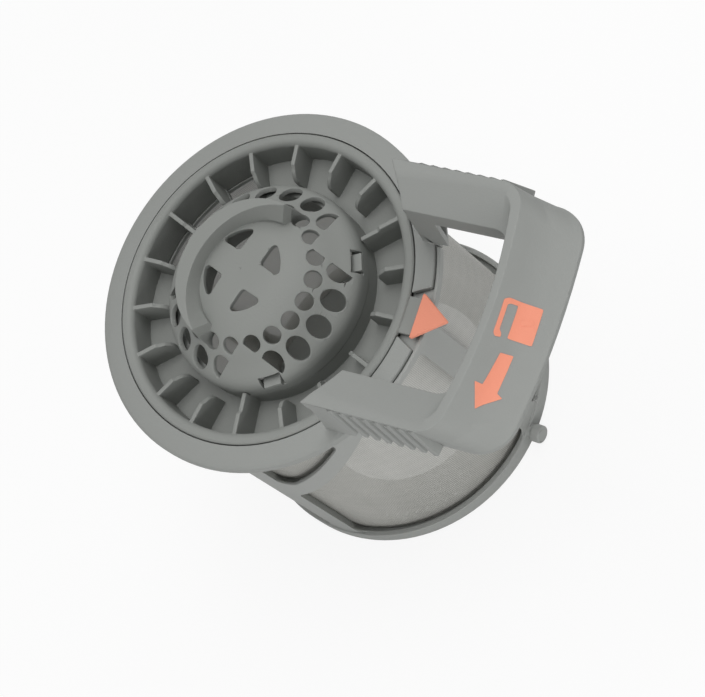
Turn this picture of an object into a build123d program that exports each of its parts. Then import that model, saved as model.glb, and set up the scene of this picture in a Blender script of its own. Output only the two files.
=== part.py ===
from build123d import *
import os
from math import cos, radians, sin

# Drain filter: a ring with a U-handle on a mesh drum, with a coarse strainer lying in the ring.
# Millimetres. The drum's axis is Z, the floor is z = 0 and the handle points along +X.
# Heights below are measured from the flange plane, which lies drum_h over the floor.

# Drum cage
drum_r = 48.4
drum_wall = 2.6
drum_h = 91.4
base_ring_step = 0.7
base_ring_h = 5.1
base_floor_t = 2.0
base_mouth_r = 30.0
strap_width = 9.6
collar_wall = 1.3
ledge_w = 2.0
ledge_t = 1.6
window_top_drop = 12.5
window_corner_r = 3.0
gutter_depth = 2.5
gutter_wall = 1.0
brace_width = 6.3
brace_slope = 0.86
brace_top_u = 0.6
cage_flange_t = 1.6
drain_hole_r = 0.8
drain_row_r = 41.2
drain_row_first = -76.0
drain_row_pitch = 4.8
drain_row_count = 8

# Mesh sleeve
mesh_t = 0.4
mesh_gap = 0.05

# Flange ring
flange_w = 6.9
flange_lip_h = 3.0
flange_lip_t = 1.6
flange_t = 1.7
flange_rise = 1.3
ring_bore_step = 0.3
strip_setback = 1.4
seam_gap = 0.3

# U-handle
leg_out_y = 36.2
leg_in_y = 23.7
leg_draft = 0.8
strip_w = 3.1
strip_end_w = 2.4
handle_rise = 32.3
lip_drop = 4.7
beam_depth = 13.3
grip_x = 88.0
grip_bow = 4.1
grip_low_bow = 2.6
grip_flare = 15.4
grip_lip_w = 2.0
grip_edge_h = 1.6
grip_corner_r = 8.0
grip_low_corner_r = 11.0
handle_wall = 2.2
leg_end_setback = 2.3
leg_end_lean = 0.24
root_t = 7.8
ridge_count = 8
ridge_pitch = 3.75
ridge_first_x = 54.8
ridge_h = 0.6
ridge_w = 1.2
ridge_lean = 16.0

# Strainer insert
rim_gap = 0.3
rim_w = 3.6
rim_round = 2.0
rim_top = 1.8
trough_depth = 10.6
insert_wall = 1.4
insert_draft = 0.2
floor_t = 1.6
seat_gap = 0.25
fin_count = 18
fin_t = 1.3
fin_gap = 2.7
fin_step_gap = 6.8
fin_top = 0.8
fin_step = 0.9
fin_end_drop = 5.0
level_fins = (2, 8, 14)
window_bays = 3
window_turn = 150
window_bay_half = 8.6
window_foot_gap = 0.8

# Pointer tab
pointer_turn = 2.0
tab_half = 5.5
tab_t = 1.5
notch_half_in = 6.8
notch_half_out = 11.6
pointer_setback = 3.9
pointer_len = 10.4
pointer_half = 7.0
pointer_t = 1.3

# Dome
dome_r = 31.5
skirt_low = -3.0
foot_setback = 0.2
dome_wall = 1.6
dome_top_z = 15.5
dome_gap = 0.3
dome_turn = -19.0
row_count = 20
outer_row_in = 4.3
outer_row_z = 6.25
outer_row_slope = 46.0
outer_hole_w = 6.3
outer_hole_l = 7.8
inner_row_in = 9.9
inner_row_z = 11.0
inner_row_slope = 35.0
inner_hole_d = 5.3
crown_in = 18.5
crown_drop = 0.6
crown_slope = 13.0
facet_in_r = 20.6
facet_length = 8.6
facet_half_w = 11.6
sector_in_r = 6.0
sector_out_r = 12.5
sector_half = 26.0
sector_turn = 46.7

# Finger lip: a crescent that stands on the dome's crown, upright at its back
lip_top_z = 20.2
lip_low_r = 17.9
lip_low_shift = 5.4
lip_high_r = 23.3
lip_high_shift = 10.8
lip_foot_r = 23.3
lip_edge_r = 22.2
lip_edge_shift = 4.6
lip_half_span = 96.0

# Hooks that hold the dome on the insert
hook_w = 5.4
hook_reach = 3.4
hook_top = 2.4
hook_low = 0.9
hook_window_in = 3.0
hook_window_h = 4.2
collar_t = 1.4
collar_top = 0.7
hook_angles = (44, -42, 180)
facet_angles = (54, -54, 198)

# Bayonet pegs
peg_r = 2.8
peg_neck_r = 2.1
peg_neck_l = 1.2
peg_head_l = 3.0
peg_z = 2.9
peg_turn = -4.0

flange_z = drum_h
drum_in_r = drum_r - drum_wall
base_ring_r = drum_r + base_ring_step
ring_bore_r = drum_r - ring_bore_step
flange_r = ring_bore_r + flange_w
strip_r = flange_r - strip_setback
leg_end_r = ring_bore_r + leg_end_setback
pointer_base_x = ring_bore_r + pointer_setback
outer_row_r = dome_r - outer_row_in
inner_row_r = dome_r - inner_row_in
crown_r = dome_r - crown_in
foot_r = dome_r - foot_setback
collar_in = drum_r - collar_wall
mesh_r = drum_in_r - mesh_gap
insert_floor_z = rim_top - trough_depth
shelf_z = insert_floor_z - floor_t - seat_gap
disc_top = -flange_t + seam_gap - 0.1


def revolved(*points):
    """A ring from its half section, given as radius and height above the flange plane."""
    return revolve(Plane.XZ * make_face(Polyline(*points, close=True)), Axis.Z)


def ring(inner, outer, low, high):
    """A plain ring between two radii and two heights."""
    tube = Cylinder(outer, high - low, align=(Align.CENTER, Align.CENTER, Align.MIN))
    bore = Cylinder(inner, high - low, align=(Align.CENTER, Align.CENTER, Align.MIN))
    return Pos(0, 0, low) * (tube - bore)


def slab(x0, x1, y0, y1, z0, z1):
    """A block between two corners."""
    block = Box(x1 - x0, y1 - y0, z1 - z0, align=(Align.MIN, Align.MIN, Align.MIN))
    return Pos(x0, y0, z0) * block


def polar(radius, angle):
    return (radius * cos(radians(angle)), radius * sin(radians(angle)))


def sector_prism(half_angle, reach, low, high):
    """A wedge about the axis that opens along +X, to cut or keep part of a ring."""
    tips = [(0, 0), polar(reach, -half_angle)]
    tips += [polar(reach * 1.5, 0), polar(reach, half_angle)]
    return Pos(0, 0, low) * extrude(make_face(Polyline(*tips, close=True)), high - low)


def u_plan(half_width, end_x, bow, corner_r, tail_x):
    """Plan of a U's edge: straight legs, rounded corners and a bowed end."""
    sides = Polyline((end_x, -half_width), (tail_x, -half_width), (tail_x, half_width), (end_x, half_width))
    end = ThreePointArc((end_x, half_width), (end_x + bow, 0), (end_x, -half_width))
    face = make_face(sides + end)
    corners = face.vertices().filter_by_position(Axis.X, end_x - 0.01, end_x + 0.01)
    return fillet(corners, corner_r)


def u_loft(*levels):
    """A body through several plans, each given with its height, from the top down."""
    return loft([Pos(0, 0, z) * plan for z, plan in reversed(levels)], ruled=True)


def leg_end_cone(offset, top_z):
    """The leaning cone round the drum's axis that the legs end on, from the flange plane up."""
    base = leg_end_r + offset
    top = base + leg_end_lean * top_z
    low = base - leg_end_lean * 2
    return revolved((0, -2), (low, -2), (top, top_z), (0, top_z))


def make_handle():
    tail_x = 25.0
    beam_z = handle_rise - beam_depth
    slope_z = handle_rise - lip_drop
    edge_z = beam_z + grip_edge_h
    hollow_z = edge_z + 0.45 * (handle_rise - edge_z)
    low_y = leg_out_y - leg_draft
    lip_x = grip_x + grip_flare - grip_lip_w
    hollow_x = grip_x + 0.38 * (grip_flare - grip_lip_w)
    in_y = leg_out_y - strip_w
    in_x = grip_x - strip_end_w
    in_corner = grip_corner_r - strip_end_w

    # The outside falls outwards to a small lip round the grip's lower edge
    top = u_plan(leg_out_y, grip_x, grip_bow, grip_corner_r, tail_x)
    mid = u_plan(leg_out_y - 0.45 * leg_draft, hollow_x, grip_bow - 0.4, grip_corner_r + 1, tail_x)
    foot = u_plan(low_y, lip_x, grip_low_bow, grip_low_corner_r, tail_x)
    lip = u_plan(low_y, grip_x + grip_flare, grip_low_bow, grip_low_corner_r, tail_x)
    outer = u_loft((handle_rise, top), (hollow_z, mid), (edge_z + 0.8, foot), (edge_z, lip))
    outer += extrude(Pos(0, 0, edge_z) * lip, -grip_edge_h)

    inner_top = u_plan(in_y, in_x, grip_bow, in_corner, tail_x - 5)
    inner_low = u_plan(leg_in_y, in_x, grip_bow, in_corner, tail_x - 5)
    inner = u_loft((handle_rise, inner_top), (slope_z, inner_low))
    inner += extrude(Pos(0, 0, handle_rise) * inner_top, 2)
    inner += extrude(Pos(0, 0, slope_z) * inner_low, -(slope_z - beam_z + 2))

    # The beam is cored from below, and the wall follows the outside
    core_top_z = handle_rise - handle_wall - 0.5
    core_y = low_y - handle_wall
    core_top = u_plan(core_y, grip_x - 1, grip_bow, grip_corner_r - 1, tail_x)
    core_mid = u_plan(core_y, hollow_x - handle_wall, grip_bow - 0.4, grip_corner_r, tail_x)
    core_low = u_plan(core_y, lip_x - handle_wall, grip_low_bow, grip_low_corner_r - 1, tail_x)
    core = u_loft((core_top_z, core_top), (hollow_z - 1, core_mid), (beam_z, core_low))
    core += extrude(Pos(0, 0, beam_z) * core_low, -2)
    spine_top = u_plan(in_y, in_x + handle_wall, grip_bow, in_corner, tail_x - 5)
    spine_low = u_plan(leg_in_y + handle_wall, in_x + handle_wall, grip_bow, in_corner, tail_x - 5)
    spine_z = core_top_z - lip_drop
    spine = u_loft((core_top_z, spine_top), (spine_z, spine_low))
    spine += extrude(Pos(0, 0, core_top_z) * spine_top, 2)
    spine += extrude(Pos(0, 0, spine_z) * spine_low, -(spine_z - beam_z + 4))
    core -= spine
    core -= leg_end_cone(handle_wall, handle_rise + 2)

    # Each leg stands on a root, a channel that is open towards the grip
    root_top = beam_z + 0.6
    root_low = 0.2
    near = leg_end_r - 2
    near_top = near + leg_end_lean * root_top
    far = leg_end_r + root_t
    far_top = far + leg_end_lean * root_top
    root = revolved((near, root_low), (far, root_low), (far_top, root_top), (near_top, root_top))
    floor_z = root_low + 1.6
    back = leg_end_r + handle_wall
    back_top = back + leg_end_lean * root_top
    open_z = root_top + 0.5
    hollow = revolved((back, floor_z), (far + 5, floor_z), (far_top + 5, open_z), (back_top, open_z))
    handle = outer - inner
    for side in (1, -1):
        y0, y1 = sorted((side * leg_in_y, side * low_y))
        handle += root & slab(0, 80, y0, y1, root_low, root_top)
    handle -= core
    for side in (1, -1):
        y0, y1 = sorted((side * (leg_in_y + handle_wall), side * (low_y - handle_wall)))
        handle -= hollow & slab(0, 80, y0, y1, floor_z, open_z)
    return handle - leg_end_cone(0, handle_rise + 2)


def make_ridges():
    """Upright grip ridges on the outsides of both legs."""
    length = beam_depth - 1.2
    section = Polygon((-ridge_w / 2, -1.2), (0, ridge_h), (ridge_w / 2, -1.2), align=None)
    bars = []
    for side in (1, -1):
        for k in range(ridge_count):
            bar = extrude(section, length, dir=(0, 0, -1))
            if side < 0:
                bar = bar.mirror(Plane.XZ)
            bar = Rot(0, -ridge_lean, 0) * bar
            x = ridge_first_x + k * ridge_pitch
            bars.append(Pos(x, side * leg_out_y, handle_rise - 0.6) * bar)
    return bars


def make_handle_ring():
    lip_in = flange_r - flange_lip_t
    under_z = flange_rise - flange_t
    edge_under_z = disc_top + 0.1
    body = revolved(
        (ring_bore_r, under_z),
        (ring_bore_r, flange_rise),
        (flange_r - 1.2, 0.25),
        (flange_r, -0.5),
        (flange_r, -flange_lip_h),
        (lip_in, -flange_lip_h),
        (lip_in, edge_under_z),
    )
    # Between the legs the ring is narrower and its lip stops
    edge = ring(strip_r, flange_r + 5, -flange_lip_h - 1, 3)
    edge += ring(lip_in, flange_r + 5, -flange_lip_h - 1, edge_under_z)
    body -= edge & slab(0, 80, -leg_in_y, leg_in_y, -flange_lip_h - 1, 3)
    body += make_handle()
    notch = [polar(ring_bore_r - 2, notch_half_in), polar(flange_r + 3, notch_half_out)]
    notch += [polar(flange_r + 3, -notch_half_out), polar(ring_bore_r - 2, -notch_half_in)]
    cutter = extrude(make_face(Polyline(*notch, close=True)), 8)
    body -= Rot(0, 0, pointer_turn) * Pos(0, 0, -4) * cutter
    for bar in make_ridges():
        body += bar
    return Pos(0, 0, flange_z) * body


def window_plan(points):
    """A window outline with rounded corners, on the plane across a quarter of the drum."""
    face = make_face(Polyline(*points, close=True))
    return fillet(face.vertices(), window_corner_r)


def make_drum_cage():
    disc_low = disc_top - cage_flange_t
    disc_r = flange_r - flange_lip_t - seam_gap
    ledge_in = drum_in_r - ledge_w
    cage = revolved(
        (collar_in, disc_top),
        (disc_r, disc_top),
        (disc_r, disc_low),
        (drum_r, disc_low),
        (drum_r, -drum_h + base_ring_h),
        (base_ring_r, -drum_h + base_ring_h),
        (base_ring_r, -drum_h),
        (base_mouth_r, -drum_h),
        (base_mouth_r, -drum_h + base_floor_t),
        (drum_in_r, -drum_h + base_floor_t),
        (drum_in_r, shelf_z - ledge_t),
        (ledge_in, shelf_z - ledge_t),
        (ledge_in, shelf_z),
        (collar_in, shelf_z),
    )
    # Rim of the cage, bare between the handle's legs
    rim_half = leg_in_y - seam_gap
    rim = revolved(
        (disc_r - 1, disc_low),
        (flange_r, disc_low),
        (flange_r, -0.7),
        (strip_r + seam_gap, -0.7),
        (strip_r + seam_gap, disc_top),
        (disc_r - 1, disc_top),
    )
    cage += rim & slab(0, 80, -rim_half, rim_half, disc_low - 1, 3)

    # Windows, drawn across each quarter: level ones at the back, a slanting brace at the front
    half = drum_r * sin(radians(45) - strap_width / 2 / drum_r)
    top = -window_top_drop
    low = -drum_h + base_ring_h
    brace_low_u = brace_top_u + brace_width * (1 + brace_slope**2) ** 0.5 / brace_slope
    strap_top_z = top - brace_slope * (brace_top_u + half)
    strap_low_z = top - brace_slope * (brace_low_u + half)
    plain = [(-half, low), (half, low), (half, top), (-half, top)]
    upper = [(-half, top), (-half, strap_top_z), (brace_top_u, top)]
    lower = [(-half, low), (half, low), (half, top), (brace_low_u, top), (-half, strap_low_z)]
    for angle in (45, 135, 225, 315):
        outlines = [upper, lower] if angle in (45, 315) else [plain]
        across = (-sin(radians(angle)), cos(radians(angle)), 0)
        outwards = (cos(radians(angle)), sin(radians(angle)), 0)
        plane = Plane(origin=(0, 0, 0), x_dir=across, z_dir=outwards)
        for points in outlines:
            if angle == 45:
                points = [(-u, z) for u, z in points]
            face = window_plan(points)
            cage -= extrude(plane * face, drum_r + 5)
            sunk = extrude(plane * Pos(0, -gutter_depth) * face, drum_r + 5)
            cage -= sunk & ring(drum_in_r - 1, drum_r - gutter_wall, low - gutter_depth - 1, top)

    # Bayonet pegs on the base ring
    root_depth = base_ring_r - drum_in_r - 1
    for k in range(2):
        reach = peg_neck_l + peg_head_l
        neck = Cylinder(peg_neck_r, root_depth + peg_neck_l, align=(Align.CENTER, Align.CENTER, Align.MIN))
        head = Cylinder(peg_r, peg_head_l, align=(Align.CENTER, Align.CENTER, Align.MIN))
        head = chamfer(head.edges().group_by(Axis.Z)[-1], 0.4)
        peg = Pos(base_ring_r - root_depth, 0, 0) * Rot(0, 90, 0) * neck
        peg += Pos(base_ring_r + reach - peg_head_l, 0, 0) * Rot(0, 90, 0) * head
        cage += Rot(0, 0, peg_turn + 180 * k) * Pos(0, 0, -drum_h + peg_z) * peg

    # A row of small drain holes in the floor ring, in each quarter
    hole = Cylinder(drain_hole_r, base_floor_t * 4)
    for quarter in range(4):
        for k in range(drain_row_count):
            x, y = polar(drain_row_r, quarter * 90 + drain_row_first + k * drain_row_pitch)
            cage -= Pos(x, y, -drum_h) * hole
    return Pos(0, 0, flange_z) * cage


def make_mesh_sleeve():
    low = -drum_h + base_floor_t
    high = shelf_z - ledge_t - 0.1
    return Pos(0, 0, flange_z) * ring(mesh_r - mesh_t, mesh_r, low, high)


def make_strainer_insert():
    rim_out = ring_bore_r - rim_gap
    rim_in = rim_out - rim_w
    wall_in_low = rim_in - insert_draft
    wall_out = rim_in + insert_wall
    collar_out = dome_r - dome_wall - dome_gap
    dome_collar_in = collar_out - collar_t
    under_z = insert_floor_z - floor_t
    half = [
        (dome_collar_in, under_z),
        (wall_in_low + insert_wall, under_z),
        (wall_out, 0.2),
        (rim_out, 0.2),
        (rim_out, rim_top - 0.5),
        (rim_out - 0.5, rim_top),
        (rim_in, rim_top),
        (wall_in_low, insert_floor_z),
        (foot_r, insert_floor_z),
        (foot_r, skirt_low - dome_gap),
        (collar_out, skirt_low - dome_gap),
        (collar_out, collar_top),
        (dome_collar_in, collar_top),
    ]
    face = make_face(Polyline(*half, close=True))
    edge = face.vertices().sort_by_distance((rim_in, rim_top, 0))[0]
    body = revolve(Plane.XZ * fillet(edge, rim_round), Axis.Z)
    # Floor windows in three bays at the back
    bay = 360 / fin_count
    opening = ring(foot_r + window_foot_gap, wall_in_low, under_z - 1, insert_floor_z + 1)
    opening = opening & sector_prism(window_bay_half, 60, under_z - 2, insert_floor_z + 2)
    for k in range(window_bays):
        angle = window_turn + (k - (window_bays - 1) / 2) * bay
        body -= Rot(0, 0, angle) * opening
    # Radial fins: a step down inwards and a rounded end, or three that run level to the foot
    step_r = dome_r + fin_step_gap
    end_r = dome_r + fin_gap
    step_z = fin_top - fin_step
    root = wall_in_low + insert_wall * 0.6
    outer_end = Line((root, under_z), (root, fin_top))
    crest = Polyline((root, fin_top), (step_r, fin_top), (step_r - fin_step, step_z))
    nose = ThreePointArc(
        (step_r - fin_step, step_z),
        (end_r + 0.3 * (step_r - fin_step - end_r), step_z - 0.35 * fin_end_drop),
        (end_r, step_z - fin_end_drop),
    )
    tail = Polyline((end_r, step_z - fin_end_drop), (end_r, under_z), (root, under_z))
    level = Polyline((step_r - fin_step, step_z), (foot_r - 0.3, step_z), (foot_r - 0.3, under_z), (root, under_z))
    plates = []
    for outline in (outer_end + crest + nose + tail, outer_end + crest + level):
        plates.append(extrude(Plane.XZ * make_face(outline), fin_t / 2, both=True))
    level_low = skirt_low - dome_gap
    plates[1] -= slab(0, dome_r + dome_gap, -fin_t, fin_t, level_low, fin_top + 1)
    for k in range(fin_count):
        body += Rot(0, 0, k * bay) * plates[1 if k in level_fins else 0]
    # Tab in the ring's notch
    tip = pointer_base_x + pointer_len - 1.5
    outline = [(rim_in + 1, -tab_half), (pointer_base_x, -tab_half), (tip, -0.6)]
    outline += [(tip, 0.6), (pointer_base_x, tab_half), (rim_in + 1, tab_half)]
    tab = extrude(make_face(Polyline(*outline, close=True)), tab_t)
    body += Rot(0, 0, pointer_turn) * Pos(0, 0, rim_top - 0.8 - tab_t) * tab
    # Hooks that hold the dome: an arm on the collar and a nib that looks out of the dome's window
    for angle in hook_angles:
        arm_in = dome_collar_in + 0.2
        arm_out = dome_collar_in + collar_t - 0.3
        arm = slab(arm_in, arm_out, -hook_w / 2, hook_w / 2, collar_top - 1, hook_top)
        arm += slab(arm_in, arm_in + hook_reach, -hook_w / 2, hook_w / 2, hook_low, hook_top)
        body += Rot(0, 0, angle + dome_turn) * arm
    return Pos(0, 0, flange_z) * body


def make_pointer():
    low = rim_top - 0.8
    outline = [(pointer_base_x, -pointer_half), (pointer_base_x + pointer_len, 0), (pointer_base_x, pointer_half)]
    face = fillet(make_face(Polyline(*outline, close=True)).vertices(), 0.4)
    body = extrude(face, pointer_t)
    body = chamfer(body.edges().group_by(Axis.Z)[-1], 0.3)
    return Rot(0, 0, pointer_turn) * Pos(0, 0, flange_z + low) * body


def dome_section():
    """Half section of the dome: an upright skirt that curves over into a flat crown."""
    stations = [
        (outer_row_r, outer_row_z, outer_row_slope),
        (inner_row_r, inner_row_z, inner_row_slope),
        (crown_r, dome_top_z - crown_drop, crown_slope),
    ]
    curves = []
    for depth in (0, dome_wall):
        knots = [(dome_r - depth, 0)]
        for radius, height, slope in stations:
            knots.append((radius - depth * sin(radians(slope)), height - depth * cos(radians(slope))))
        knots.append((0, dome_top_z - depth))
        curves.append(Spline(*knots, tangents=((0, 1), (-1, 0))))
    outer, inner = curves
    wire = [
        Line((dome_r, skirt_low), (dome_r, 0)),
        outer,
        Line((0, dome_top_z), (0, dome_top_z - dome_wall)),
        inner,
        Line((dome_r - dome_wall, 0), (dome_r - dome_wall, skirt_low)),
        Line((dome_r - dome_wall, skirt_low), (dome_r, skirt_low)),
    ]
    return make_face(wire)


def make_finger_lip():
    """A crescent: its scoop is upright at the back and opens out to both ends."""
    foot_z = outer_row_z + 1.5
    rise = lip_top_z - dome_top_z
    shift_per_z = (lip_high_shift - lip_low_shift) / rise
    growth_per_z = (lip_high_r - lip_low_r) / rise
    over = 1.0
    drop = dome_top_z - foot_z
    outer = loft([
        Pos(0, 0, foot_z) * Circle(lip_foot_r),
        Pos(lip_edge_shift, 0, lip_top_z) * Circle(lip_edge_r),
    ], ruled=True)
    scoop = loft([
        Pos(lip_low_shift, 0, dome_top_z - 0.3) * Circle(lip_low_r),
        Pos(lip_high_shift + over * shift_per_z, 0, lip_top_z + over) * Circle(lip_high_r + over * growth_per_z),
    ], ruled=True)
    low_cut = Pos(lip_low_shift, 0, foot_z - 1) * Cylinder(
        lip_low_r, drop + 0.7, align=(Align.CENTER, Align.CENTER, Align.MIN))
    keep = Rot(0, 0, 180) * sector_prism(lip_half_span, 60, foot_z - 1, lip_top_z + 2)
    return (outer - scoop - low_cut) & keep


def make_dome():
    body = revolve(Plane.XZ * dome_section(), Axis.Z)
    body += make_finger_lip()
    # Four rounded sector holes in the crown
    p, q = polar(sector_out_r, sector_half), polar(sector_out_r, -sector_half)
    tip = (sector_in_r, 0)
    wire = [Line(tip, q), ThreePointArc(q, (sector_out_r, 0), p), Line(p, tip)]
    sector = fillet(make_face(wire).vertices(), 1.1)
    for k in range(4):
        hole = extrude(Rot(0, 0, sector_turn + 90 * k) * sector, dome_top_z + 2)
        body -= Pos(0, 0, 4) * hole
    # Two rows of holes square to the surface, kept off the three plain wedges
    pitch = 360 / row_count
    far = facet_in_r + 2 * facet_length
    wedge = [(facet_in_r, 0), (facet_in_r + facet_length, -facet_half_w), (far, -facet_half_w)]
    wedge += [(far, facet_half_w), (facet_in_r + facet_length, facet_half_w)]
    plain = extrude(make_face(Polyline(*wedge, close=True)), dome_top_z * 2)
    for k in range(2 * row_count):
        angle = pitch * k / 2
        if k % 2 == 0:
            hole = extrude(Ellipse(outer_hole_l / 2, outer_hole_w / 2), 10)
            drill = Pos(outer_row_r, 0, outer_row_z) * Rot(0, outer_row_slope, 0) * Pos(0, 0, -5) * hole
        else:
            hole = Cylinder(inner_hole_d / 2, 8)
            drill = Pos(inner_row_r, 0, inner_row_z) * Rot(0, inner_row_slope, 0) * hole
        drill = Rot(0, 0, angle) * drill
        near = [f for f in facet_angles if abs((angle - f + 180) % 360 - 180) < 1.2 * pitch]
        if k % 2 == 0 and any((angle - f) % 360 < 1 for f in near):
            continue
        for f in near:
            drill -= Rot(0, 0, f) * plain
        body -= drill
    # Windows in the shoulder for the insert's hooks
    half = hook_w / 2 + 0.8
    for angle in hook_angles:
        low = hook_low - 0.7
        window = slab(dome_r - hook_window_in, dome_r + 2, -half, half, low, low + hook_window_h)
        body -= Rot(0, 0, angle) * window
    return Pos(0, 0, flange_z) * Rot(0, 0, dome_turn) * body


parts = {
    "handle_ring": make_handle_ring,
    "drum_cage": make_drum_cage,
    "mesh_sleeve": make_mesh_sleeve,
    "strainer_insert": make_strainer_insert,
    "pointer_tab": make_pointer,
    "strainer_dome": make_dome,
}

os.makedirs("parts", exist_ok=True)
for name, make in parts.items():
    solid = make()
    print(name, len(solid.solids()), round(solid.volume, 1), solid.is_valid)
    export_step(solid, f"parts/{name}.step")
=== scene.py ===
# %% [markdown]
# # A dishwasher drain filter
# This lesson dresses a CAD model of a drain filter: a ring with a U-handle on a mesh drum, with
# a finned strainer and a perforated dome lying in the ring. The solids have the right shapes
# already, so they get moulded-plastic and woven-mesh finishes and softly rounded edges. Two
# things are modelled on top of them: the grip ridges' flare, and the orange marks on the grip.

# %% Load the model
from math import cos, pi, radians, sin

import bpy
from mathutils import Matrix, Vector
from mathutils.bvhtree import BVHTree


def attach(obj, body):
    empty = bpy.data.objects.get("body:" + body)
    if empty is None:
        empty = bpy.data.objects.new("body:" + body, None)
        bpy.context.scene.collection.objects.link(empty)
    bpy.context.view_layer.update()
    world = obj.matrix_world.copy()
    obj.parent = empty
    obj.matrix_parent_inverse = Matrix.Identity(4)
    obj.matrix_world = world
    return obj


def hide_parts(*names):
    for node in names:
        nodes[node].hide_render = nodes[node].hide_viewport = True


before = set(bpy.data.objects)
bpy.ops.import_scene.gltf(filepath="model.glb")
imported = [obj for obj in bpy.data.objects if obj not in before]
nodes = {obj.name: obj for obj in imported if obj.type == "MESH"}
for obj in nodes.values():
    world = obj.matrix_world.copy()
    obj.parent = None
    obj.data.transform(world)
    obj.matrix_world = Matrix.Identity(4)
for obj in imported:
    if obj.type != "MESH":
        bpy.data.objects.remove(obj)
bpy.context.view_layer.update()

print("pieces from the CAD model:", ", ".join(sorted(nodes)))

# %% [markdown]
# ## The camera
# The photograph was taken from a little under a metre away with a long lens, so the drum
# shrinks a little towards its foot. The camera's place and the directions of the picture's
# sides were fitted to the ellipses of the rim and the foot. The camera is turned towards the
# middle of the picture rather than shifted, so that views from other sides stay centred.

# %% Place the camera
MM = 0.001
flange_top = 0.0914
camera_place = Vector((0.47590, -0.16242, 0.68533 + flange_top))
picture_right = Vector((0.8060578, 0.3495393, -0.4767554))
picture_up = Vector((-0.1907632, 0.9168419, 0.3496592))
towards_camera = Vector((0.5598874, -0.1910799, 0.8062754))
focal_pixels = 2944.4
picture_width, picture_height = 705, 697
rim_centre_x, rim_centre_y = 266.98, 288.45

aim = (picture_right * (picture_width / 2 - rim_centre_x)
       - picture_up * (picture_height / 2 - rim_centre_y)
       - towards_camera * focal_pixels)
turn = (-towards_camera).rotation_difference(aim.normalized())
axes = Matrix((picture_right, picture_up, towards_camera)).transposed()
camera_data = bpy.data.cameras.new("studio_camera")
camera = bpy.data.objects.new("studio_camera", camera_data)
bpy.context.scene.collection.objects.link(camera)
camera.matrix_world = Matrix.Translation(camera_place) @ (turn.to_matrix() @ axes).to_4x4()
camera_data.sensor_width = 36.0
camera_data.lens = focal_pixels * camera_data.sensor_width / picture_width
camera_data.clip_start = 0.05
bpy.context.scene.camera = camera
rim_distance = (camera_place - Vector((0, 0, flange_top))).length
print("lens", round(camera_data.lens, 1), "mm, distance to the rim", round(rim_distance, 3), "m")

# %% [markdown]
# ## Node maths written as Python
# A shader is a sum: a grain here, a stain there. A small class wraps a node socket, so that
# `grain * 0.2 + 0.5` adds the two Math nodes for it. One function adds a Math node by name, and
# one adds any other node, so each finish below reads like a formula.


# %% Wrap the sockets
class Socket:
    """A node's output that can be added, subtracted, multiplied and raised like a number."""

    def __init__(self, tree, socket):
        self.tree = tree
        self.socket = socket

    def __add__(self, other):
        return maths("ADD", self, other)

    def __radd__(self, other):
        return maths("ADD", other, self)

    def __sub__(self, other):
        return maths("SUBTRACT", self, other)

    def __rsub__(self, other):
        return maths("SUBTRACT", other, self)

    def __mul__(self, other):
        return maths("MULTIPLY", self, other)

    def __rmul__(self, other):
        return maths("MULTIPLY", other, self)

    def __pow__(self, other):
        return maths("POWER", self, other)

    def __rpow__(self, other):
        return maths("POWER", other, self)


def node(tree, kind, settings, inputs, output=0):
    """Adds a node, sets its options, then fills or links its sockets."""
    made = tree.nodes.new(kind)
    for key, value in settings.items():
        setattr(made, key, value)
    for key, value in inputs.items():
        if isinstance(value, Socket):
            tree.links.new(value.socket, made.inputs[key])
        else:
            made.inputs[key].default_value = value
    return Socket(tree, made.outputs[output])


def maths(operation, *values):
    """One Math node on sockets and numbers, at least one of them a socket."""
    tree = next(value.tree for value in values if isinstance(value, Socket))
    return node(tree, "ShaderNodeMath", {"operation": operation}, dict(enumerate(values)))


print("socket maths ready")


# %% Small shader helpers
def new_material(name):
    """A material with a Principled shader, its shader node and the place on the object."""
    material = bpy.data.materials.new(name)
    material.use_nodes = True
    tree = material.node_tree
    place = node(tree, "ShaderNodeTexCoord", {}, {}, "Object")
    return material, tree.nodes["Principled BSDF"], place


def noise(place, scale, detail, roughness):
    """Soft random grain between 0 and 1; the scale is in features per metre."""
    return node(place.tree, "ShaderNodeTexNoise", {"noise_dimensions": "3D"},
                {"Vector": place, "Scale": scale, "Detail": detail, "Roughness": roughness}, "Fac")


def stretched(place, turns, scales):
    """The place on the object, turned and scaled, so that a pattern on it is drawn out."""
    return node(place.tree, "ShaderNodeMapping", {},
                {"Vector": place, "Rotation": turns, "Scale": scales})


def blend_colours(factor, first, second):
    """A mix of two colours by a factor."""
    return node(factor.tree, "ShaderNodeMix", {"data_type": "RGBA"},
                {0: factor, 6: first + (1.0,), 7: second + (1.0,)}, 2)


def smooth_between(value, low, high):
    """0 below the low value, 1 over the high one, and a soft step between."""
    return node(value.tree, "ShaderNodeMapRange", {"interpolation_type": "SMOOTHSTEP"},
                {"Value": value, "From Min": low, "From Max": high})


def bump(height, distance, strength):
    """Turns a height into a normal."""
    return node(height.tree, "ShaderNodeBump", {},
                {"Height": height, "Distance": distance, "Strength": strength}, "Normal")


def plug(value, shader, name):
    """Feeds a value into one of the shader's sockets."""
    value.tree.links.new(value.socket, shader.inputs[name])


print("shader helpers ready")
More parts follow.
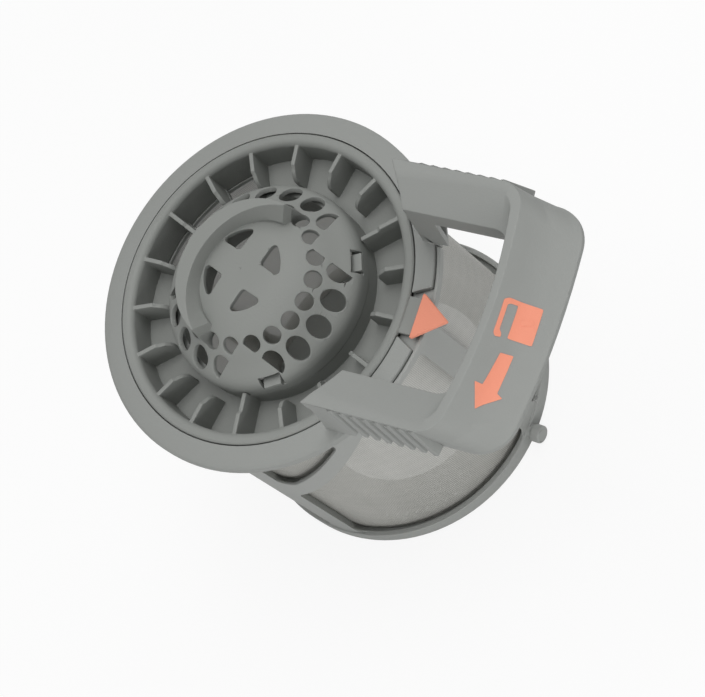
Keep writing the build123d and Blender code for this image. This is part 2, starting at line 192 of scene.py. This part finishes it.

# %% [markdown]
# ## Moulded plastic
# The grey parts are filled polypropylene from a fine spark-eroded mould: matt, with an even
# satin grain, faint clouds and streaks where the melt flowed, and fine pores. One recipe makes
# all five plastics, which differ in colour and gloss. The cage's grey is a shade lighter than the
# handle's, and that is painted light: it makes up for light that the drum gets too little of from
# the lamps. The insert and the dome are a shade darker, and the marks and the pointer are orange.


# %% Make the plastics
def moulded_plastic(name, colour, roughness, cloud=0.06):
    """Matt moulded plastic: clouds and streaks of the melt, eroded grain and pores."""
    material, shader, place = new_material(name)
    clouds = noise(place, scale=38.0, detail=4.0, roughness=0.55)
    drawn_out = stretched(place, turns=(0, 0, 0), scales=(1.0, 1.0, 0.25))
    streaks = noise(drawn_out, scale=160.0, detail=3.0, roughness=0.6)
    grain = noise(place, scale=2600.0, detail=2.0, roughness=0.5)
    pores = node(place.tree, "ShaderNodeTexVoronoi", {}, {"Vector": place, "Scale": 1500.0},
                 "Distance")
    shade = (clouds - 0.5) * cloud + (streaks - 0.5) * (cloud * 0.6) + (grain - 0.5) * 0.05 + 0.5
    dark = tuple(part * 0.80 for part in colour)
    light = tuple(part * 1.20 for part in colour)
    plug(blend_colours(shade, dark, light), shader, "Base Color")
    plug((clouds - 0.5) * 0.10 + (grain - 0.5) * 0.12 + roughness, shader, "Roughness")
    skin = bump(grain * 0.7 + pores * 0.5, distance=0.108 * MM, strength=0.35)
    plug(skin, shader, "Normal")
    shader.inputs["Specular IOR Level"].default_value = 0.35
    return material


grey_plastic = moulded_plastic("handle_grey_plastic", (0.270, 0.279, 0.267), 0.58)
# painted light: the cage's lighter grey makes up for light that the drum gets too little of
cage_plastic_with_painted_light = moulded_plastic("cage_grey_with_painted_light", (0.320, 0.329, 0.316), 0.56)
insert_plastic = moulded_plastic("insert_grey_plastic", (0.240, 0.249, 0.236), 0.60)
dome_plastic = moulded_plastic("dome_grey_plastic", (0.234, 0.243, 0.230), 0.60)
orange_plastic = moulded_plastic("orange_mark_plastic", (0.79, 0.285, 0.185), 0.55, cloud=0.03)
print("made five plastics")

# %% [markdown]
# ## The woven micro mesh
# The sleeve is a very fine plain weave, cream grey, pulled tight round the drum. The weave
# follows the sleeve, so its pattern is drawn in turns round the axis and in height. Soft
# streaks stand for slack in the cloth, and a faint wave for the moire that such a weave shows.
# The solid is a thin wall, but the cloth is a single layer, so only the outer skin is drawn and
# the inner one is left clear. The gaps between the threads are painted dark: painted shade for the
# dim inside of the drum seen through them. They let a fifth of the light by, and the threads glow
# a little where light falls on the other side.


# %% Make the mesh
def woven_mesh(name, radius, pitch, thread, gap_shade, openness, glow_share):
    """Plain weave on a round sleeve, with a moire wave and slack streaks."""
    material, shader, place = new_material(name)
    tree = place.tree
    x, y, z = (node(tree, "ShaderNodeSeparateXYZ", {}, {0: place}, axis) for axis in "XYZ")
    threads_round = round(2 * pi * radius / pitch)
    along = maths("ARCTAN2", y, x) * (threads_round / (2 * pi))
    up = z * (1 / pitch)
    warp = maths("COSINE", along * (2 * pi)) * 0.5 + 0.5
    weft = maths("COSINE", up * (2 * pi)) * 0.5 + 0.5
    over = maths("COSINE", along * pi) * maths("COSINE", up * pi)
    cloth = maths("MAXIMUM", warp, weft)
    solid = smooth_between(cloth, low=0.56, high=0.80)
    drawn_out = stretched(place, turns=(0.5, 0.2, 0.4), scales=(1.0, 1.0, 0.18))
    slack = noise(drawn_out, scale=120.0, detail=3.0, roughness=0.55)
    clouds = noise(place, scale=26.0, detail=2.0, roughness=0.5)
    moire = maths("SINE", along * 0.37 + up * 0.61) * 0.5 + 0.5
    tone = solid * 0.70 + slack * 0.60 + clouds * 0.2 + moire * 0.06 + over * 0.05 - 0.33
    # the gaps' dark colour is painted shade: the dim inside of the drum seen through the weave
    plug(blend_colours(tone, gap_shade, thread), shader, "Base Color")
    plug(bump(cloth + over * 0.4, distance=0.12 * MM, strength=0.5), shader, "Normal")
    shader.inputs["Roughness"].default_value = 0.55
    from_axis = (x * x + y * y) ** 0.5
    outer_skin = smooth_between(from_axis, low=radius - 0.17 * MM, high=radius - 0.11 * MM)
    plug(outer_skin * (solid * openness + (1 - openness)), shader, "Alpha")
    glow = node(tree, "ShaderNodeBsdfTranslucent", {}, {"Color": (0.88, 0.88, 0.83, 1.0)})
    surface = node(tree, "ShaderNodeMixShader", {},
                   {0: outer_skin * glow_share, 1: Socket(tree, shader.outputs[0]), 2: glow})
    tree.links.new(surface.socket, tree.nodes["Material Output"].inputs["Surface"])
    print(name, "has", threads_round, "threads round the sleeve")
    return material


mesh_cloth = woven_mesh("micro_mesh_weave", radius=45.75 * MM, pitch=0.55 * MM,
                        thread=(0.50, 0.50, 0.47), gap_shade=(0.27, 0.27, 0.25),
                        openness=0.20, glow_share=0.07)
sleeve = nodes["mesh_sleeve"]
sleeve.data.materials.clear()
sleeve.data.materials.append(mesh_cloth)

# %% [markdown]
# ## From CAD solids to mouldings
# A moulded edge is never knife sharp: the tool leaves a radius of a few tenths of a
# millimetre, and that radius catches the light. It could be faked in the shader, but a real
# bevel shows in every light. Each plastic solid is copied, its loose triangles are merged,
# pairs of them become four-sided faces, and a Bevel modifier rounds what turns sharply. Where
# slivers of the solid make a bevelled corner shoot out, it is put back on the solid. Softer
# turns, such as the crown of the grip, are only shaded smooth, and weighted normals keep the
# flats flat.


# %% Select, modify and finish a piece
bevelled_from = radians(32)
smooth_up_to = radians(38)


def select_only(piece):
    """Selects one object and makes it the active one."""
    bpy.ops.object.select_all(action="DESELECT")
    piece.select_set(True)
    bpy.context.view_layer.objects.active = piece


def add_modifier(piece, kind, **settings):
    """Adds a modifier, sets its options and applies it."""
    select_only(piece)
    made = piece.modifiers.new(kind.lower(), kind)
    for key, value in settings.items():
        setattr(made, key, value)
    bpy.ops.object.modifier_apply(modifier=made.name)


def bevel_edges(piece, radius, clamp):
    """Rounds the edges that turn sharply."""
    add_modifier(piece, "BEVEL", width=radius, segments=2, limit_method="ANGLE",
                 angle_limit=bevelled_from, use_clamp_overlap=clamp)


def shade_moulded(piece):
    """Shades soft turns smooth and keeps flats flat."""
    bpy.ops.object.shade_smooth_by_angle(angle=smooth_up_to)
    add_modifier(piece, "WEIGHTED_NORMAL", keep_sharp=True)


def finish_piece(piece, material):
    """Gives a piece its material and its place in the tables."""
    piece.data.materials.clear()
    piece.data.materials.append(material)
    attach(piece, "root")


print("piece helpers ready")


# %% Round the moulded edges
def put_strays_back(piece, solid, reach):
    """Moves corners that stand off the solid by more than a reach back onto it."""
    strays = 0
    for vertex in piece.data.vertices:
        nearest, _, _, distance = solid.find_nearest(vertex.co)
        if distance > reach:
            vertex.co = nearest
            strays += 1
    return strays


def moulding(name, material, edge_radius):
    """A merged copy of a CAD solid with rounded edges, which stands for that solid."""
    piece = bpy.data.objects.new(name + "_moulding", nodes[name].data.copy())
    bpy.context.scene.collection.objects.link(piece)
    select_only(piece)
    bpy.ops.object.mode_set(mode="EDIT")
    bpy.ops.mesh.select_all(action="SELECT")
    bpy.ops.mesh.remove_doubles(threshold=0.002 * MM)
    bpy.ops.mesh.tris_convert_to_quads(face_threshold=radians(0.5), shape_threshold=radians(60))
    bpy.ops.object.mode_set(mode="OBJECT")
    corners = [vertex.co.copy() for vertex in piece.data.vertices]
    solid = BVHTree.FromPolygons(corners, [face.vertices[:] for face in piece.data.polygons])
    bevel_edges(piece, edge_radius, clamp=False)
    strays = put_strays_back(piece, solid, 0.5 * edge_radius)
    shade_moulded(piece)
    finish_piece(piece, material)
    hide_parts(name)
    print(piece.name, len(piece.data.polygons), "faces,", strays, "stray corners put back")
    return piece


handle = moulding("handle_ring", grey_plastic, 0.30 * MM)
moulding("drum_cage", cage_plastic_with_painted_light, 0.25 * MM)
moulding("strainer_insert", insert_plastic, 0.20 * MM)
moulding("strainer_dome", dome_plastic, 0.15 * MM)
moulding("pointer_tab", orange_plastic, 0.10 * MM)

# %% [markdown]
# ## Grip ridges
# Eight ridges on the outside of each leg give wet fingers a hold. Seen from above they flare
# out towards the leg's lower edge, like the teeth of a comb, which the solid only hints at. One
# ridge is shaped from a cube: it is narrower outside, stands out more at its foot, and its back
# sinks into the leg. An Array modifier repeats it along the leg, and a bevel softens the row.

# %% The ridges' sizes
ridge_count = 8
ridge_length = 12.1 * MM
ridge_foot_width, ridge_crest_width = 2.9 * MM, 1.9 * MM
ridge_sunk, ridge_proud_top, ridge_proud_foot = 0.8 * MM, 0.35 * MM, 2.5 * MM
ridge_pitch = 3.75 * MM
ridge_first_x = 54.8 * MM
ridge_lean = radians(-16)
leg_side_y = 36.2 * MM
ridge_top_z = flange_top + 31.7 * MM
print("the row of ridges is", round(ridge_count * ridge_pitch * 1000, 1), "mm long")


# %% Shape the ridges
def grip_ridges(name, side):
    """Eight leaning ridges on one leg; side is 1 for the leg at +Y and -1 for the other."""
    bpy.ops.object.select_all(action="DESELECT")
    bpy.ops.mesh.primitive_cube_add(size=2 * MM)
    piece = bpy.context.object
    piece.name = name
    for vertex in piece.data.vertices:
        across = 1 if vertex.co.x > 0 else -1
        outside, top = vertex.co.y > 0, vertex.co.z > 0
        width = ridge_crest_width if outside else ridge_foot_width
        proud = (ridge_proud_top if top else ridge_proud_foot) if outside else -ridge_sunk
        vertex.co = (across * width / 2, side * proud, 0 if top else -ridge_length)
    place = Matrix.Translation((ridge_first_x, side * leg_side_y, ridge_top_z))
    piece.data.transform(place @ Matrix.Rotation(ridge_lean, 4, "Y"))
    add_modifier(piece, "ARRAY", count=ridge_count, use_relative_offset=False,
                 use_constant_offset=True, constant_offset_displace=(ridge_pitch, 0, 0))
    bpy.ops.object.mode_set(mode="EDIT")
    bpy.ops.mesh.select_all(action="SELECT")
    bpy.ops.mesh.normals_make_consistent(inside=False)
    bpy.ops.object.mode_set(mode="OBJECT")
    bevel_edges(piece, 0.3 * MM, clamp=True)
    shade_moulded(piece)
    finish_piece(piece, grey_plastic)
    print(name, len(piece.data.polygons), "faces")


grip_ridges("left_grip_ridges", 1)
grip_ridges("right_grip_ridges", -1)

# %% [markdown]
# ## The orange marks on the grip
# Two marks are set in the grip in orange: an open padlock with a raised keyhole, and an arrow
# that shows which way the handle turns. Each starts as a flat outline that hangs in front of
# the grip. It is cut into millimetre strips so that it can bend, pressed onto the grip with
# Shrinkwrap, and gets its thickness from Solidify, a part of it sunk into the grip.


# %% Press a flat outline onto the grip
def cut_in_strips(outline, hang_x):
    """Cuts the face in edit mode across both directions, every millimetre."""
    for axis, normal in ((1, (0, 1, 0)), (2, (0, 0, 1))):
        places = [point[axis - 1] for point in outline]
        low, high = min(places), max(places)
        for step in range(1, int(high - low) + 1):
            place = [hang_x, 0, flange_top]
            place[axis] += (low + step) * MM
            bpy.ops.mesh.select_all(action="SELECT")
            bpy.ops.mesh.bisect(plane_co=place, plane_no=normal)


def mark(name, outline, corner, proud):
    """A thin mark on the grip; its outline is (y, z) in millimetres over the flange."""
    hang_x = 0.115
    sunk = 0.12
    bpy.ops.object.select_all(action="DESELECT")
    bpy.ops.mesh.primitive_circle_add(vertices=len(outline), radius=MM, fill_type="NGON")
    piece = bpy.context.object
    piece.name = name
    for vertex, (y, z) in zip(piece.data.vertices, outline):
        vertex.co = (hang_x, y * MM, flange_top + z * MM)
    bpy.ops.object.mode_set(mode="EDIT")
    bpy.ops.mesh.select_all(action="SELECT")
    bpy.ops.mesh.bevel(offset=corner * MM, segments=3, affect="VERTICES", clamp_overlap=True)
    cut_in_strips(outline, hang_x)
    bpy.ops.object.mode_set(mode="OBJECT")
    if piece.data.polygons[0].normal.x < 0:
        piece.data.flip_normals()
    add_modifier(piece, "SHRINKWRAP", target=handle, wrap_method="PROJECT", use_project_x=True,
                 use_positive_direction=False, use_negative_direction=True)
    add_modifier(piece, "SOLIDIFY", thickness=(proud + sunk) * MM,
                 offset=(proud - sunk) / (proud + sunk))
    bpy.ops.object.shade_smooth_by_angle(angle=radians(50))
    finish_piece(piece, orange_plastic)
    print(name, len(piece.data.polygons), "faces, at x", round(piece.data.vertices[0].co.x, 4))


print("mark press ready")

# %% Draw the marks
padlock_outline = (
    (6.2, 22.9), (-4.26, 22.75), (-4.5, 26.65), (4.7, 26.75), (4.45, 28.66), (3.89, 29.25),
    (-3.08, 29.12), (-3.9, 28.4), (-4.92, 28.2), (-5.33, 29.59), (-4.4, 30.22), (4.88, 30.4),
    (5.8, 29.3))
keyhole_round = tuple((0.8 + 0.78 * cos(radians(angle)), 25.0 + 0.40 * sin(radians(angle)))
                      for angle in range(-20, 230, 30))
keyhole_foot = ((1.15, 23.5), (2.3, 23.6))
arrow_outline = (
    (-8.74, 26.9), (-8.39, 24.58), (-19.18, 24.6), (-20.0, 23.67), (-25.05, 26.78),
    (-18.34, 29.62), (-18.33, 27.68))
mark("padlock_mark", padlock_outline, corner=0.35, proud=0.12)
mark("padlock_keyhole", keyhole_round + keyhole_foot, corner=0.1, proud=0.22)
mark("turn_arrow", arrow_outline, corner=0.2, proud=0.12)

# %% [markdown]
# ## Floor and backdrop
# The photograph is a packshot: white all round, with a soft shadow. A white floor would need so
# much lamp light that the plastic would bleach. So the floor glows white where the camera sees
# it, directly or through the cloth, and a share of it still takes the object's soft shadow. The
# world does the same: white where it is seen, and a weaker fill light on the object.


# %% Tell sight from light
def seen_directly(tree):
    """1 for rays from the camera or passed on by the cloth, and 0 for all the others."""
    camera_ray, passed_on = (node(tree, "ShaderNodeLightPath", {}, {}, ray)
                             for ray in ("Is Camera Ray", "Is Transmission Ray"))
    return maths("MAXIMUM", passed_on, camera_ray)


white = (1.0, 1.0, 1.0, 1.0)
print("sight helper ready")

# %% Make the floor
floor_drop = 0.2 * MM
floor_glow_share = 0.88
bpy.ops.object.select_all(action="DESELECT")
bpy.ops.mesh.primitive_plane_add(size=6.0, location=(0, 0, -floor_drop))
floor = bpy.context.object
floor.name = "floor"
floor_material = bpy.data.materials.new("pale_floor")
floor_material.use_nodes = True
tree = floor_material.node_tree
tree.nodes.clear()
glow = node(tree, "ShaderNodeEmission", {}, {"Color": white, "Strength": 1.0})
paint = node(tree, "ShaderNodeBsdfDiffuse", {}, {"Color": (0.80, 0.80, 0.80, 1.0)})
glowing = seen_directly(tree) * floor_glow_share
surface = node(tree, "ShaderNodeMixShader", {}, {0: glowing, 1: paint, 2: glow})
output = tree.nodes.new("ShaderNodeOutputMaterial")
tree.links.new(surface.socket, output.inputs["Surface"])
floor.data.materials.append(floor_material)
print("floor laid", floor_drop * 1000, "mm under the base ring")

# %% Set the world
fill_light = 0.4
world = bpy.data.worlds.new("studio")
world.use_nodes = True
tree = world.node_tree
tree.nodes.clear()
strength = seen_directly(tree) * (1.0 - fill_light) + fill_light
sky = node(tree, "ShaderNodeBackground", {}, {"Color": white, "Strength": strength})
output = tree.nodes.new("ShaderNodeOutputWorld")
tree.links.new(sky.socket, output.inputs["Surface"])
bpy.context.scene.world = world
print("world fill light", fill_light)

# %% [markdown]
# ## The softboxes
# Three square area lamps, each over a metre away, stand for the studio's softboxes: a wide one
# overhead, one from the side of the left leg, at +Y, and a low one from in front of the grip and
# the right leg. Their powers were fitted by rendering with one lamp at a time and comparing the
# brightness of the plastic's flats with the photograph. Large lamps give broad, soft shading. The
# Standard view transform keeps whites white and the orange clean.


# %% Hang the lamps
middle_of_object = Vector((0.0, 0.0, 0.06))


def area_lamp(name, place, size, power):
    """A square softbox that looks at the middle of the object."""
    data = bpy.data.lights.new(name, "AREA")
    data.size = size
    data.energy = power
    lamp = bpy.data.objects.new(name, data)
    lamp.location = place
    towards = middle_of_object - Vector(place)
    lamp.rotation_euler = towards.to_track_quat("-Z", "Y").to_euler()
    bpy.context.scene.collection.objects.link(lamp)
    print(name, power, "W")


area_lamp("top_softbox", (0.05, 0.10, 1.30), size=0.8, power=7.2)
area_lamp("left_softbox", (0.15, 0.75, 1.00), size=0.8, power=3.4)
area_lamp("low_softbox", (0.80, -0.80, 0.25), size=0.7, power=5.4)
bpy.context.scene.view_settings.view_transform = "Standard"
